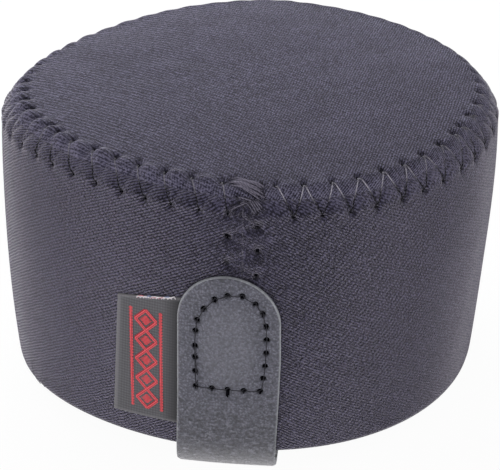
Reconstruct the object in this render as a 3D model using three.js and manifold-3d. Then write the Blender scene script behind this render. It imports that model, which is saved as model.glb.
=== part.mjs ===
// A soft stretch cap for a lens hood, sewn from a foam laminate.
// Millimetres, +Z up. The cap's own axis is vertical, its open rim faces down,
// and its pull tab is at the front, towards -Y.
// Inside the cap group, z = 0 is the plane of the rim. The group is then lifted so that
// the fold of the pull tab, which is the lowest point, lies at z = 0.

import * as THREE from 'three';
import { mergeVertices } from 'three/addons/utils/BufferGeometryUtils.js';
import Module from 'manifold-3d';

const wasm = await Module();
wasm.setup();

// Laminate
const jerseyThickness = 0.45;
const foamThickness = 2.1;

// Body outline, outside face. The wall draws in from the shoulder to the middle and the rim.
const shoulderRadius = 45;
const middleDrawIn = 0.4;
const rimDrawIn = 2.4;
const wallHeight = 47.9;
const shoulderInset = 3.7;
const shoulderRise = 4.2;
const crownDome = 1.6;
const crownFlatRadius = 12;

// Stiffener under the crown, in a pocket that ends short of the crown seam
const pocketSeamClearance = 1.2;
const pocketMargin = 2.6;
const pocketLift = 0.3;
const stiffenerThickness = 0.8;

// Sewing thread
const threadDiameter = 0.35;
const seatGap = 0.2;

// Crown seam: zigzag from one side of the bartack round to the other
const crownStitchPeriods = 53;
const junctionHalfGap = 5.2;

// Side seam: the band's two ends meet edge to edge at the front
const sideSeamAzimuth = 3.9;
const sideSeamWidth = 5.5;
const sideStitchPitch = 4.9;
const sideSeamTopMargin = 1.3;
const sideSeamRimMargin = 1.2;
const buttGap = 0.3;

// Bartack over the junction of the two seams
const bartackWidth = 6.4;
const bartackStrands = 7;
const bartackAzimuth = 4.4;

// Pull tab: one strip that wraps round the rim
const tabWidth = 18.2;
const tabTop = 36.2;
const leatherThickness = 1.2;
const tabStandoff = 0.8;
const foldDrop = 2.9;
const bendHeight = 12.5;
const bendGap = 0.3;
const tabSwing = 5;
const foldCornerRadius = 1.2;

// D-shaped row that sews the tab through the wall, as margins from the tab's edges and the bend
const rowLeftMargin = 3.4;
const rowRightMargin = 2.7;
const rowTopMargin = 3.2;
const rowBendMargin = 1.4;

// Folded woven label
const labelThickness = 0.4;
const labelTuck = 4.2;
const labelClearOfTab = 0.8;
const labelHingeGap = 0.5;
const labelTopReach = 10;
const labelBottomReach = 11.7;
const labelTopLeft = 28.2;
const labelTopRight = 30.8;
const labelBottomLeft = 4.5;
const labelBottomRight = 4.8;

// Woven motif on the label
const motifCount = 5;
const motifOffset = 5.2;
const motifWidth = 4.6;
const motifHeight = 3;
const motifPitch = 3.9;
const motifNeck = 0.6;
const motifThickness = 0.15;

// Fineness of the faceted shapes
const facets = 48;
const wallRows = 4;
const leastStep = 0.5;
const cutOverrun = 1;
const domeRings = [0.82, 0.56];
const threadSides = 4;
const samplesPerCrownLeg = 2;
const samplesPerSideLeg = 4;
const turnSpacing = 0.45;
const rowSpacing = 1.4;

const laminate = 2 * jerseyThickness + foamThickness;
const threadRadius = threadDiameter / 2;
const threadDepth = seatGap + threadRadius;
const toRadians = THREE.MathUtils.degToRad;
const toDegrees = THREE.MathUtils.radToDeg;
const rimRadius = shoulderRadius - rimDrawIn;
const middleRadius = shoulderRadius - middleDrawIn;
const crownEdgeRadius = shoulderRadius - shoulderInset;
const crownEdgeHeight = wallHeight + shoulderRise;
const labelHinge = -tabWidth / 2 - labelClearOfTab;

// The outside of the wall: a quadratic through the rim, the middle and the shoulder.
function wallRadius(z) {
  const t = z / wallHeight;
  return rimRadius * (1 - t) * (1 - 2 * t)
    + 4 * middleRadius * t * (1 - t)
    + shoulderRadius * t * (2 * t - 1);
}

function domeHeight(r) {
  return crownEdgeHeight + crownDome * (1 - Math.pow(r / crownEdgeRadius, 2.5));
}

// The whole outside line in the (radius, z) plane, from the rim up to the pole.
// The band's last point is also the crown's first: they meet half way up the shoulder.
function outsideLine() {
  const line = [];
  for (let row = 0; row <= wallRows; row += 1) {
    const z = wallHeight * row / wallRows;
    line.push(new THREE.Vector2(wallRadius(z), z));
  }
  line.push(new THREE.Vector2((shoulderRadius + crownEdgeRadius) / 2, wallHeight + shoulderRise / 2));
  line.push(new THREE.Vector2(crownEdgeRadius, crownEdgeHeight));
  for (const share of domeRings) {
    const r = crownEdgeRadius * share;
    line.push(new THREE.Vector2(r, domeHeight(r)));
  }
  line.push(new THREE.Vector2(crownFlatRadius, domeHeight(crownFlatRadius)));
  line.push(new THREE.Vector2(0, domeHeight(crownFlatRadius)));
  return line;
}

const outside = outsideLine();
const shoulderIndex = wallRows;
const buttIndex = wallRows + 1;
const crownEdgeIndex = wallRows + 2;

function sideNormal(a, b) {
  return new THREE.Vector2(b.y - a.y, a.x - b.x).normalize();
}

// The outside line moved in by a depth, mitred at each point. A negative depth moves it out.
// The rim is cut square, so its point moves level, and the pole moves straight down.
function inset(depth) {
  return outside.map((point, index) => {
    if (index === 0) return new THREE.Vector2(point.x - depth, point.y);
    if (index === outside.length - 1) return new THREE.Vector2(0, point.y - depth);
    const before = sideNormal(outside[index - 1], point);
    const after = sideNormal(point, outside[index + 1]);
    const mitre = before.clone().add(after).normalize();
    return point.clone().addScaledVector(mitre, -depth / mitre.dot(before));
  });
}

// Radius of a line at a height, straight between its points, for the wall part only.
function radiusAt(line, z) {
  let upper = 1;
  while (upper < shoulderIndex && line[upper].y < z) upper += 1;
  const a = line[upper - 1];
  const b = line[upper];
  return a.x + (b.x - a.x) * (z - a.y) / (b.y - a.y);
}

// Closed bodies

function weld(source) {
  const bare = source.index ? source.toNonIndexed() : source.clone();
  bare.deleteAttribute('normal');
  bare.deleteAttribute('uv');
  const merged = mergeVertices(bare, 1e-5);
  const index = [];
  for (let i = 0; i < merged.index.count; i += 3) {
    const [a, b, c] = [merged.index.getX(i), merged.index.getX(i + 1), merged.index.getX(i + 2)];
    if (a !== b && b !== c && c !== a) index.push(a, b, c);
  }
  const geometry = new THREE.BufferGeometry();
  geometry.setAttribute('position', merged.getAttribute('position'));
  geometry.setIndex(signedVolume(merged, index) < 0 ? index.reverse() : index);
  return geometry;
}

function signedVolume(geometry, index) {
  const position = geometry.getAttribute('position');
  const corners = [new THREE.Vector3(), new THREE.Vector3(), new THREE.Vector3()];
  let volume = 0;
  for (let i = 0; i < index.length; i += 3) {
    corners.forEach((corner, k) => corner.fromBufferAttribute(position, index[i + k]));
    volume += corners[0].dot(corners[1].cross(corners[2])) / 6;
  }
  return volume;
}

// Azimuth 0 is the front, towards -Y, and azimuth grows towards +X.
function revolve(profile) {
  return weld(new THREE.LatheGeometry(profile, facets).rotateX(Math.PI / 2));
}

function ring(lineA, lineB) {
  return revolve([...lineA, ...[...lineB].reverse(), lineA[0]]);
}

function dome(lineA, lineB) {
  return revolve([...[...lineB].reverse(), ...lineA]);
}

function toManifold(geometry) {
  return new wasm.Manifold(new wasm.Mesh({
    numProp: 3,
    vertProperties: geometry.getAttribute('position').array,
    triVerts: Uint32Array.from(geometry.index.array),
  }));
}

function fromManifold(manifold) {
  const mesh = manifold.getMesh();
  const geometry = new THREE.BufferGeometry();
  geometry.setAttribute('position', new THREE.BufferAttribute(mesh.vertProperties, 3));
  geometry.setIndex(Array.from(mesh.triVerts));
  return geometry;
}

function common(a, b) {
  return fromManifold(toManifold(a).intersect(toManifold(b)));
}

function cut(a, b) {
  return fromManifold(toManifold(a).subtract(toManifold(b)));
}

// A prism over an outline drawn in (x, z), reaching from the cap's axis out past the front wall.
function frontPrism(shape, curveSegments = 12) {
  const reach = 2 * shoulderRadius;
  const prism = new THREE.ExtrudeGeometry(shape, { depth: reach, bevelEnabled: false, curveSegments });
  return weld(prism.rotateX(Math.PI / 2));
}

function polygon(corners) {
  return new THREE.Shape(corners.map(([x, z]) => new THREE.Vector2(x, z)));
}

// The part of a line from one height to another, with a point exactly at each end.
function wallStretch(line, low, high) {
  const inside = (point) => point.y > low + leastStep && point.y < high - leastStep;
  const between = line.slice(1, shoulderIndex).filter(inside);
  const end = (z) => new THREE.Vector2(radiusAt(line, z), z);
  return [end(low), ...between, end(high)];
}

// A shell that follows the front wall between two depths and two heights.
function wallShell(depthA, depthB, low, high) {
  return ring(wallStretch(inset(depthA), low, high), wallStretch(inset(depthB), low, high));
}

// Threads

class StitchPath extends THREE.Curve {
  constructor(place, steps) {
    super();
    this.place = place;
    this.arcLengthDivisions = steps * 6;
  }

  getPoint(t, target = new THREE.Vector3()) {
    return target.copy(this.place(t));
  }
}

function threadSection() {
  const corners = [];
  for (let side = 0; side < threadSides; side += 1) {
    const angle = 2 * Math.PI * side / threadSides;
    corners.push([threadRadius * Math.cos(angle), threadRadius * Math.sin(angle)]);
  }
  return polygon(corners);
}

function thread(place, steps) {
  const extrudePath = new StitchPath(place, steps);
  return weld(new THREE.ExtrudeGeometry(threadSection(), { steps, extrudePath, bevelEnabled: false }));
}

// A zigzag between -1 and 1 with slightly rounded turns.
function zigzag(turns) {
  const sharpness = 0.97;
  return Math.asin(sharpness * Math.cos(2 * Math.PI * turns)) / Math.asin(sharpness);
}

function aroundAxis(radius, azimuth, z) {
  const angle = toRadians(azimuth);
  return new THREE.Vector3(radius * Math.sin(angle), -radius * Math.cos(angle), z);
}

function atFront(radius, x, z) {
  return new THREE.Vector3(x, -Math.sqrt(radius * radius - x * x), z);
}

// Zigzag round the shoulder, on the line at a depth below the outside.
function crownSeamThread(depth) {
  const line = inset(depth);
  const lower = line[shoulderIndex];
  const upper = line[crownEdgeIndex];
  const halfGap = toDegrees(junctionHalfGap / shoulderRadius);
  const place = (t) => {
    const share = (zigzag(t * crownStitchPeriods) + 1) / 2;
    const { x: radius, y: z } = lower.clone().lerp(upper, share);
    return aroundAxis(radius, bartackAzimuth + halfGap + (360 - 2 * halfGap) * t, z);
  };
  return thread(place, crownStitchPeriods * 2 * samplesPerCrownLeg);
}

// Zigzag down the front wall across the butted ends of the band.
function sideSeamThread(depth) {
  const line = inset(depth);
  const top = wallHeight - sideSeamTopMargin;
  const periods = Math.round((top - sideSeamRimMargin) / sideStitchPitch);
  const halfWidth = toDegrees(sideSeamWidth / 2 / shoulderRadius);
  const place = (t) => {
    const z = top + (sideSeamRimMargin - top) * t;
    return aroundAxis(radiusAt(line, z), sideSeamAzimuth + halfWidth * zigzag(t * periods), z);
  };
  return thread(place, periods * 2 * samplesPerSideLeg);
}

// Long strands side by side over the junction, from the crown edge down to the shoulder,
// each turning into the next.
function bartackThread() {
  const line = inset(-threadDepth);
  const upper = line[crownEdgeIndex];
  const lower = line[shoulderIndex];
  const slope = upper.distanceTo(lower);
  const spacing = slope / (bartackStrands - 1);
  const reach = (bartackWidth - spacing) / 2;
  const row = new THREE.Path();
  row.moveTo(-reach, 0);
  for (let strand = 0; strand < bartackStrands; strand += 1) {
    const side = strand % 2 === 0 ? 1 : -1;
    row.lineTo(side * reach, strand * spacing);
    if (strand < bartackStrands - 1) {
      row.absarc(side * reach, (strand + 0.5) * spacing, spacing / 2, -Math.PI / 2, Math.PI / 2, side < 0);
    }
  }
  const place = (t) => {
    const point = row.getPointAt(t);
    const azimuth = bartackAzimuth + toDegrees(point.x / shoulderRadius);
    const { x: radius, y: z } = upper.clone().lerp(lower, point.y / slope);
    return aroundAxis(radius, azimuth, z);
  };
  return thread(place, Math.round(row.getLength() / turnSpacing));
}

// The D-shaped row: up the left side, over the arc, down the right side and back along the bottom.
function tabStitchThread(depth) {
  const line = inset(depth);
  const left = rowLeftMargin - tabWidth / 2;
  const right = tabWidth / 2 - rowRightMargin;
  const bottom = bendHeight + rowBendMargin;
  const arcRadius = (right - left) / 2;
  const arcHeight = tabTop - rowTopMargin - arcRadius;
  const row = new THREE.Path();
  row.moveTo(left, bottom + threadDiameter);
  row.lineTo(left, arcHeight);
  row.absarc((left + right) / 2, arcHeight, arcRadius, Math.PI, 0, true);
  row.lineTo(right, bottom);
  row.lineTo(left + 2 * threadDiameter, bottom);
  const place = (t) => {
    const point = row.getPointAt(t);
    return atFront(radiusAt(line, point.y), point.x, point.y);
  };
  return thread(place, Math.round(row.getLength() / rowSpacing));
}

// Side band: a strip bent into a ring, its two ends butted at the side seam.
function bandLayer(depthA, depthB) {
  const whole = ring(inset(depthA).slice(0, buttIndex + 1), inset(depthB).slice(0, buttIndex + 1));
  const slot = new THREE.BoxGeometry(buttGap, shoulderRadius, 3 * wallHeight);
  slot.translate(0, -shoulderRadius, 0).rotateZ(toRadians(sideSeamAzimuth));
  return cut(whole, weld(slot));
}

function crownLayer(depthA, depthB) {
  return dome(inset(depthA).slice(buttIndex), inset(depthB).slice(buttIndex));
}

const foamDepth = jerseyThickness + foamThickness;

// Under the crown the stiffener is flat and carried by its pocket, whose edge turns up
// to the crown lining and is caught with it in the seam.
const pocketRadius = inset(laminate)[crownEdgeIndex].x - pocketSeamClearance;
const stiffenerRadius = pocketRadius - pocketMargin;
const stiffenerTop = domeHeight(stiffenerRadius) - laminate - pocketLift;
const stiffenerUnder = stiffenerTop - stiffenerThickness;

function stiffenerDisc() {
  return revolve([
    new THREE.Vector2(0, stiffenerUnder),
    new THREE.Vector2(stiffenerRadius, stiffenerUnder),
    new THREE.Vector2(stiffenerRadius, stiffenerTop),
    new THREE.Vector2(0, stiffenerTop),
  ]);
}

function stiffenerPocket() {
  const turn = stiffenerRadius + pocketLift;
  const edgeTop = crownEdgeHeight - laminate - pocketLift;
  return revolve([
    new THREE.Vector2(0, stiffenerUnder - jerseyThickness),
    new THREE.Vector2(turn, stiffenerUnder - jerseyThickness),
    new THREE.Vector2(pocketRadius, edgeTop - jerseyThickness),
    new THREE.Vector2(pocketRadius, edgeTop),
    new THREE.Vector2(turn, stiffenerUnder + pocketLift),
    new THREE.Vector2(turn, stiffenerUnder),
    new THREE.Vector2(0, stiffenerUnder),
  ]);
}

// Pull tab. Its sewn ends follow the wall, and below the bend both legs run straight to the fold.

function tabOutline(low) {
  const half = tabWidth / 2;
  const shape = new THREE.Shape();
  shape.moveTo(-half, low);
  shape.lineTo(half, low);
  shape.lineTo(half, tabTop - half);
  shape.absarc(0, tabTop - half, half, 0, Math.PI, false);
  shape.lineTo(-half, low);
  return shape;
}

function tabEnd(depthA, depthB) {
  const shell = wallShell(depthA, depthB, bendHeight + bendGap, tabTop + cutOverrun);
  return common(shell, frontPrism(tabOutline(0)));
}

function tabOuterEnd() {
  return tabEnd(-tabStandoff - leatherThickness, -tabStandoff);
}

function tabInnerEnd() {
  const inner = laminate + tabStandoff;
  return tabEnd(inner, inner + leatherThickness);
}

// Each leg's face that looks at the wall, where the fold begins. The inner leg leaves
// the room there that the loop's outward swing needs.
const outerLegAtRim = rimRadius + tabStandoff;
const innerLegAtBend = radiusAt(inset(laminate + tabStandoff), bendHeight);
const innerLegAtRim = rimRadius - laminate - tabStandoff - bendHeight * Math.tan(toRadians(tabSwing));
const foldInnerRadius = (outerLegAtRim - innerLegAtRim) / 2;
const foldOuterRadius = foldInnerRadius + leatherThickness;
const foldCentre = (outerLegAtRim + innerLegAtRim) / 2;
const foldCentreHeight = foldOuterRadius - foldDrop;

function foldArc(radius) {
  const steps = 8;
  const points = [];
  for (let step = 0; step <= steps; step += 1) {
    const angle = -Math.PI * step / steps;
    points.push(new THREE.Vector2(
      foldCentre + radius * Math.cos(angle),
      foldCentreHeight + radius * Math.sin(angle),
    ));
  }
  return points;
}

function outerLeg(depth) {
  return wallStretch(inset(depth), foldCentreHeight + leastStep, bendHeight).reverse();
}

function tabLoop() {
  const away = [
    ...outerLeg(-tabStandoff - leatherThickness),
    ...foldArc(foldOuterRadius),
    new THREE.Vector2(innerLegAtBend - leatherThickness, bendHeight),
  ];
  const near = [
    ...outerLeg(-tabStandoff),
    ...foldArc(foldInnerRadius),
    new THREE.Vector2(innerLegAtBend, bendHeight),
  ];
  const half = tabWidth / 2;
  const cornerX = half - foldCornerRadius;
  const cornerZ = foldCornerRadius - foldDrop;
  const strip = new THREE.Shape();
  strip.moveTo(-half, bendHeight + cutOverrun);
  strip.lineTo(-half, cornerZ);
  strip.absarc(-cornerX, cornerZ, foldCornerRadius, Math.PI, 1.5 * Math.PI, false);
  strip.absarc(cornerX, cornerZ, foldCornerRadius, -Math.PI / 2, 0, false);
  strip.lineTo(half, bendHeight + cutOverrun);
  return common(ring(away, near), frontPrism(strip, 3));
}

// Label: its plies lie together between the tab and the wall, and on the wall beyond the tab.

function labelShell(depthOut, depthIn) {
  return wallShell(depthOut, depthIn, labelBottomLeft - cutOverrun, labelTopRight + cutOverrun);
}

function labelRoot() {
  const left = labelHinge + labelHingeGap;
  const right = -tabWidth / 2 + labelTuck;
  return common(labelShell(-seatGap - labelThickness, -seatGap), frontPrism(polygon([
    [left, labelBottomRight],
    [right, labelBottomRight],
    [right, labelTopRight],
    [left, labelTopRight],
  ])));
}

function labelFlap() {
  return common(labelShell(-seatGap - labelThickness, -seatGap), frontPrism(polygon([
    [labelHinge - labelBottomReach, labelBottomLeft],
    [labelHinge, labelBottomRight],
    [labelHinge, labelTopRight],
    [labelHinge - labelTopReach, labelTopLeft],
  ])));
}

// A chain of plain lozenges in a raised weft, joined by narrow necks.
function labelMotif() {
  const base = -seatGap - labelThickness - seatGap;
  const x = labelHinge - motifOffset;
  const middle = (labelBottomLeft + labelTopLeft) / 2;
  const rightSide = [];
  for (let row = 0; row < motifCount; row += 1) {
    const z = middle + (row - (motifCount - 1) / 2) * motifPitch;
    rightSide.push([motifNeck / 2, z - motifHeight / 2]);
    rightSide.push([motifWidth / 2, z]);
    rightSide.push([motifNeck / 2, z + motifHeight / 2]);
  }
  const leftSide = [...rightSide].reverse().map(([across, z]) => [-across, z]);
  const chain = polygon([...rightSide, ...leftSide].map(([across, z]) => [x + across, z]));
  return common(labelShell(base - motifThickness, base), frontPrism(chain));
}

// Assembly

const cap = new THREE.Group();
const tabReach = radiusAt(inset(-tabStandoff - leatherThickness), tabTop);
cap.position.set(0, (tabReach - shoulderRadius) / 2, foldDrop);

function add(name, geometry, color, roughness) {
  const material = new THREE.MeshStandardMaterial({ color, roughness, metalness: 0 });
  const mesh = new THREE.Mesh(geometry, material);
  mesh.name = name;
  cap.add(mesh);
}

const overTab = tabStandoff + leatherThickness + threadDepth;

const jersey = 0x4b4650;
const foam = 0x1f1e20;
const sewing = 0x2b2830;
const leather = 0x55565a;
const satin = 0x5a5b5c;
const red = 0xd7504a;
const plastic = 0x303030;

add('side_band_face', bandLayer(0, jerseyThickness), jersey, 0.9);
add('side_band_foam', bandLayer(jerseyThickness, foamDepth), foam, 0.95);
add('side_band_lining', bandLayer(foamDepth, laminate), jersey, 0.9);
add('crown_face', crownLayer(0, jerseyThickness), jersey, 0.9);
add('crown_foam', crownLayer(jerseyThickness, foamDepth), foam, 0.95);
add('crown_lining', crownLayer(foamDepth, laminate), jersey, 0.9);
add('stiffener_disc', stiffenerDisc(), plastic, 0.5);
add('stiffener_pocket', stiffenerPocket(), jersey, 0.9);
add('crown_seam_needle_thread', crownSeamThread(-threadDepth), sewing, 0.6);
add('crown_seam_bobbin_thread', crownSeamThread(laminate + threadDepth), sewing, 0.6);
add('side_seam_needle_thread', sideSeamThread(-threadDepth), sewing, 0.6);
add('side_seam_bobbin_thread', sideSeamThread(laminate + threadDepth), sewing, 0.6);
add('bartack_thread', bartackThread(), sewing, 0.6);
add('pull_tab_outer_end', tabOuterEnd(), leather, 0.5);
add('pull_tab_inner_end', tabInnerEnd(), leather, 0.5);
add('pull_tab_loop', tabLoop(), leather, 0.5);
add('tab_stitch_needle_thread', tabStitchThread(-overTab), sewing, 0.6);
add('tab_stitch_bobbin_thread', tabStitchThread(laminate + overTab), sewing, 0.6);
add('label_root', labelRoot(), satin, 0.6);
add('label_flap', labelFlap(), satin, 0.6);
add('label_motif', labelMotif(), red, 0.7);

const object = new THREE.Group();
object.add(cap);

export default object;
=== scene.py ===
import math
from functools import partialmethod

import bmesh
import bpy
import numpy as np
from mathutils import Matrix, Vector, kdtree


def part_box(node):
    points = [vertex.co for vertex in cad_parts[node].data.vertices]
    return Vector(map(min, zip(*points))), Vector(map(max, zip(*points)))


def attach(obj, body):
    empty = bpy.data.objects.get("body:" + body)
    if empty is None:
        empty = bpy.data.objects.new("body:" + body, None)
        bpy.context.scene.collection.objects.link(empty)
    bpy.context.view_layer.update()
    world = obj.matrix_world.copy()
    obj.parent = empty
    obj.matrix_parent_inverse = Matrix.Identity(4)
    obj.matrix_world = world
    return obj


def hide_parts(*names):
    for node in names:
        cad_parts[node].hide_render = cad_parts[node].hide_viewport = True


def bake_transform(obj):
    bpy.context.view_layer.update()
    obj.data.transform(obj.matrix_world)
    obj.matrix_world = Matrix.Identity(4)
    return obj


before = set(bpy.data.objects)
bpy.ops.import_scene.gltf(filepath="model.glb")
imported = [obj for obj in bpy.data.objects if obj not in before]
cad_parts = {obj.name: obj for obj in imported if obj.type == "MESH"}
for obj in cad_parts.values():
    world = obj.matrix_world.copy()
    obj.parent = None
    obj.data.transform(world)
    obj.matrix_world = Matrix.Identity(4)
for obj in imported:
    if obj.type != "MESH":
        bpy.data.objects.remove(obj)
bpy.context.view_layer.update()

MM = 0.001
# The photo looks at the cap from this many degrees beside the tab
VIEW_AZ = 5.1
TURN = math.radians(VIEW_AZ)
CAP_AT = np.array([0.0, 1.0, 2.9])
# The crown sits this far to the left of the rim
LEAN = 0.798

# The cap's outline in millimetres, over the rim plane
RIM_R, MIDDLE_R, SHOULDER_R = 42.6, 44.63, 45.0
WALL_H = 47.92
EDGE_R, EDGE_RISE, EDGE_POWER = 41.33, 4.232, 1.184
CROWN_DOME, DOME_POWER = 1.6, 2.5
WALL_LAST, EDGE_LAST, TOP_POINTS = 240, 320, 200
JERSEY, LAMINATE = 0.45, 3.0
SEAM_AZ = 3.9
BUTT_GAP = 0.012
# Between the two pieces that meet in the crown seam, each side
CLEAR = 0.01
TAU = 2 * math.pi

rng = np.random.default_rng(11)


def smooth(t):
    """From 0 to 1 with soft ends."""
    return t * t * (3 - 2 * t)


def bell(d, wide, power=2):
    """1 at nought, falling off over a width."""
    fall = -(d / wide) ** power
    return np.exp(fall) if isinstance(fall, np.ndarray) else math.exp(fall)


# Outline: distance along it from the rim, radius and height

def wall_r(z):
    t = np.clip(np.asarray(z, float) / WALL_H, 0, 1)
    return RIM_R * (1 - t) * (1 - 2 * t) + 4 * MIDDLE_R * t * (1 - t) + SHOULDER_R * t * (2 * t - 1)


def outline_points():
    z = np.linspace(0, WALL_H, WALL_LAST + 1)
    a = np.linspace(0, math.pi / 2, EDGE_LAST - WALL_LAST + 1)[1:]
    edge = np.c_[EDGE_R + (SHOULDER_R - EDGE_R) * np.cos(a) ** (2 / EDGE_POWER),
                 WALL_H + EDGE_RISE * np.sin(a) ** (2 / EDGE_POWER)]
    r = np.linspace(EDGE_R, 0, TOP_POINTS)[1:]
    top = np.c_[r, WALL_H + EDGE_RISE + CROWN_DOME * (1 - (r / EDGE_R) ** DOME_POWER)]
    return np.vstack([np.c_[wall_r(z), z], edge, top])


def lengths(line):
    """Distance along a line of points."""
    return np.r_[0, np.cumsum(np.linalg.norm(np.diff(line, axis=0), axis=1))]


OUT = outline_points()
OUT_S = lengths(OUT)
S_WALL, S_EDGE, S_END = (float(OUT_S[i]) for i in (WALL_LAST, EDGE_LAST, -1))
S_BUTT = (S_WALL + S_EDGE) / 2


def outline_at(s):
    return np.interp(s, OUT_S, OUT[:, 0]), np.interp(s, OUT_S, OUT[:, 1])


def profile(s):
    """Radius, height and the outward normal at a distance along the outline."""
    s = np.clip(np.asarray(s, float), 0, S_END)
    reach = 0.9
    r0, z0 = outline_at(np.clip(s - reach, 0, S_END))
    r1, z1 = outline_at(np.clip(s + reach, 0, S_END))
    tr, tz = r1 - r0, z1 - z0
    n = np.hypot(tr, tz)
    return *outline_at(s), tz / n, -tr / n


def round_at(az, r, z):
    """Points at an azimuth in degrees, 0 at the pull tab."""
    a = np.radians(az)
    return np.stack([r * np.sin(a), -r * np.cos(a), z + 0 * a], -1)


def on_outline(az, s, lift=0.0):
    """Points at an azimuth and a distance along the outline, lifted off the outside."""
    az, s = np.broadcast_arrays(np.asarray(az, float), np.asarray(s, float))
    r, z, nr, nz = profile(s)
    return round_at(az, r + nr * lift, z + nz * lift)


def warp(p):
    """The soft cap's small lopsidedness, as seen in the outline of the photo."""
    x, y, z = np.moveaxis(np.array(p, float), -1, 0)
    f = np.arctan2(y, x) - TURN
    w = smooth(np.clip(z / WALL_H, 0, 1))
    k = np.minimum(np.hypot(x, y) / 45, 1) ** 2
    c1, s1, c2, s2, c3, s3 = (g(n * f) for n in (1, 2, 3) for g in (np.cos, np.sin))
    dz = k * w * (0.151 * c1 - 0.405 * s1 + 0.432 * c2 + 1.054 * s2 + 0.393 * c3 - 0.527 * s3)
    dr = k * (w * (0.252 * c2 + 0.174 * s2 - 0.133 * c3 - 0.553 * s3)
              + (1 - w) * (0.15 * c2 + 1.174 * s2 - 1.296 * c3 + 0.684 * s3))
    az = np.arctan2(x, -y)
    # The rim dips at both sides, and the shoulder swells at the right
    dz += -0.3 * k * (1 - w) * (1 - np.cos(2 * az))
    dr += 0.4 * k * w * np.clip(np.sin(az), 0, 1) ** 2
    # The shoulder is lower and tighter at the far corners
    corner = k * w * np.abs(np.sin(2 * az)) * (np.cos(az) < 0)
    dz -= 0.26 * corner
    dr -= 0.36 * corner
    dx, dy = -LEAN * w + dr * c1, 0.203 * w + dr * s1
    ct, st = math.cos(TURN), math.sin(TURN)
    return np.stack([x + dx * ct - dy * st, y + dx * st + dy * ct, z + dz], -1)


def place(p):
    """Cap millimetres to metres in the row frame."""
    return (warp(p) + CAP_AT) * MM


# Stitches: measured azimuths at the front, an even pitch round the back

LOWER = [-56.0, -49.9, -43.2, -36.6, -29.8, -23.9, -17.7, -11.2, -4.7,
         10.2, 16.9, 23.6, 29.9, 36.8, 42.9, 49.2, 55.8, 61.9]
UPPER = [-54.4, -48.6, -41.3, -34.6, -28.1, -21.1, -14.2, -6.5,
         6.7, 13.6, 20.9, 27.7, 34.6, 40.9, 47.5, 54.5, 61.3]
ROW_LOW, ROW_HIGH = S_WALL - 0.1, S_EDGE + 0.15
# The seam runs round the back from one azimuth to the other in so many periods
BACK_FROM, BACK_TO, BACK_PERIODS = 61.9, 304.0, 36
SEAM_MIDDLE = 5


def shaken(az, s):
    return az + rng.normal(0, 0.25), s + rng.normal(0, 0.1)


def crown_holes():
    """(azimuth, distance along the outline) of the needle holes, in sewing order."""
    front = sorted([(a, ROW_LOW) for a in LOWER] + [(a, ROW_HIGH) for a in UPPER])
    right = [(a, s) for a, s in front if a > SEAM_MIDDLE]
    left = [(a + 360, s) for a, s in front if a < SEAM_MIDDLE]
    back = []
    for i in range(BACK_PERIODS):
        ahead = 0.5 + 0.13 * i / BACK_PERIODS
        a, b = (BACK_FROM + (BACK_TO - BACK_FROM) * (i + t) / BACK_PERIODS for t in (ahead, 1))
        # Both rows slip down the shoulder at the back
        down = math.sin(math.pi * min(1, max(0, (a - 75) / 195))) ** 0.6
        back.append(shaken(a, ROW_HIGH - 2.0 * down))
        if i < BACK_PERIODS - 1:
            back.append(shaken(b, ROW_LOW - 0.9 * down))
    return [(a + VIEW_AZ, s) for a, s in right + back + left]


def side_holes():
    """Side seam, from the top down: right then left of the butted ends."""
    found = [(2.15, 45.7), (-4.75, 43.4), (2.1, 40.9), (-4.95, 38.35), (1.75, 36.0)]
    z, side = 33.4, -1
    while z > 1.5:
        found.append((-4.85 if side < 0 else 1.8, z))
        z, side = z - 2.45, -side
    wall = slice(0, WALL_LAST + 1)
    return [(a + VIEW_AZ, float(np.interp(z, OUT[wall, 1], OUT_S[wall]))) for a, z in found]


# Bartack: strands in (millimetres across, millimetres up the slope from the lower holes)
BARTACK = []
for k in range(14):
    j = rng.normal(0, 0.26, 4)
    BARTACK.append([(-3.3 + 0.5 * (k % 3) + j[0], 7.4 - 0.15 * k + j[1]),
                    (2.6 - 0.3 * (k % 2) + j[2], 5.9 - 0.23 * k + j[3])])
BARTACK += [((-3.3, 0.5), (0.1, 2.3)), ((-3.1, 0.9), (-0.3, 2.5)), ((-1.4, -0.1), (2.1, -2.2)),
            ((0.1, 2.6), (1.4, 0.5)), ((0.5, 2.7), (1.8, 0.7)), ((0.9, 2.7), (2.2, 0.9)),
            ((1.3, 2.6), (2.5, 1.3)), ((-0.4, 2.2), (1.2, 0.1)), ((-2.2, 3.1), (0.9, 2.4))]
ARC_R = 44.5


def slope_point(x, v):
    return math.degrees(math.asin(x / ARC_R)) + VIEW_AZ, S_WALL + v


CROWN_HOLES = crown_holes()
SIDE_HOLES = side_holes()
BAR_LEGS = [[slope_point(*q) for q in strand] for strand in BARTACK]
BAR_HOLES = [q for leg in BAR_LEGS for q in leg]


# Cloth relief: pits at the needle holes, creases under the threads, a groove at the butted edges

def tree_of(points):
    tree = kdtree.KDTree(len(points))
    for i, q in enumerate(points):
        tree.insert(Vector(q), i)
    tree.balance()
    return tree


def legs_between(holes):
    """Points along the straight legs from hole to hole."""
    out, step = [], 0.3
    for (a0, s0), (a1, s1) in zip(holes[:-1], holes[1:]):
        n = max(2, int(math.hypot((a1 - a0) * 0.77, s1 - s0) / step))
        t = (np.arange(n) + 0.5) / n
        out.append(on_outline(a0 + (a1 - a0) * t, s0 + (s1 - s0) * t))
    return np.vstack(out)


def creases():
    """Pulled lines in the cloth from each needle hole, with the depth of each point."""
    points, depths = [], []
    for i, (a, s) in enumerate(CROWN_HOLES):
        left = 1.0 if a > 290 else 0.6
        up = s > S_BUTT
        reach, share = (2.3, 1.0) if up else (-1.6, 0.2)
        for t in np.arange(0, 1, 0.08):
            points.append(on_outline(a + 1.6 * left * t * math.sin(i * 2.1), s + reach * t))
            depths.append(0.55 * left * (1 - t) ** 1.5 * share)
    return np.array(points), np.array(depths)


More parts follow.
